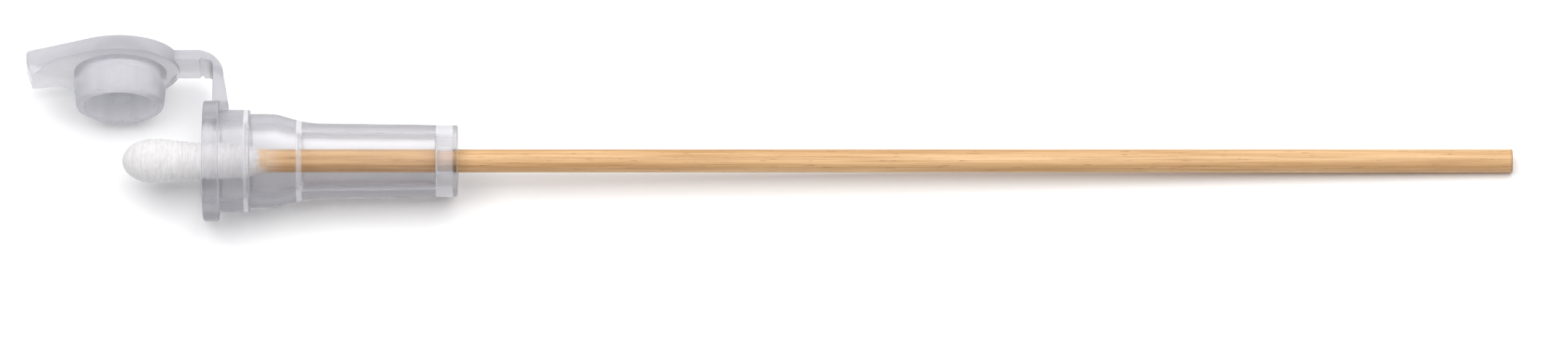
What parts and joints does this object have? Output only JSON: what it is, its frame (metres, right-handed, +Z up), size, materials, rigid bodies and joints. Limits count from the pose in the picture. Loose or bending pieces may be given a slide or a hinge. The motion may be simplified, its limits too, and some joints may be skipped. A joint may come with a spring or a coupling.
{
  "type": "specimen swab tube",
  "caption": "Cotton bud on a wooden stick that slides in a short clear tube, with a strapped plug cap that shuts over the bud.",
  "frame": {"origin": "centre of the tube's mouth, in the flange's front face", "axes": "+X runs from the mouth along the tube and the stick, +Y points to the side where the strap and the open cap lie, +Z up. The object lies at rest, so its own axis dips 2.2 degrees below +X and it is rolled 2.5 degrees towards the cap"},
  "size_m": [0.163, 0.0192, 0.0133],
  "materials": {
    "clear_moulding": "translucent polypropylene, semi-gloss",
    "birch": "smooth turned birch, unvarnished",
    "cotton": "tightly wound white cotton"
  },
  "bodies": {
    "tube": {"tube": "clear_moulding"},
    "cap": {"cap": "clear_moulding"},
    "swab": {"shaft": "birch", "cotton_bud": "cotton"}
  },
  "joints": [
    {"name": "cap_hinge", "type": "hinge", "parent": "tube", "child": "cap", "pos_m": [0.00058, 0.00986, -0.00045], "axis": [0.0377, 0.0431, 0.9984], "range_deg": [0, 90]},
    {"name": "swab_slide", "type": "slide", "parent": "tube", "child": "swab", "axis": [0.9993, 0, -0.0377], "range_m": [0, 0.0115]}
  ],
  "couplings": [
    {"joint": "swab_slide", "follows": "cap_hinge", "m_per_rad": 0.0073211}
  ]
}
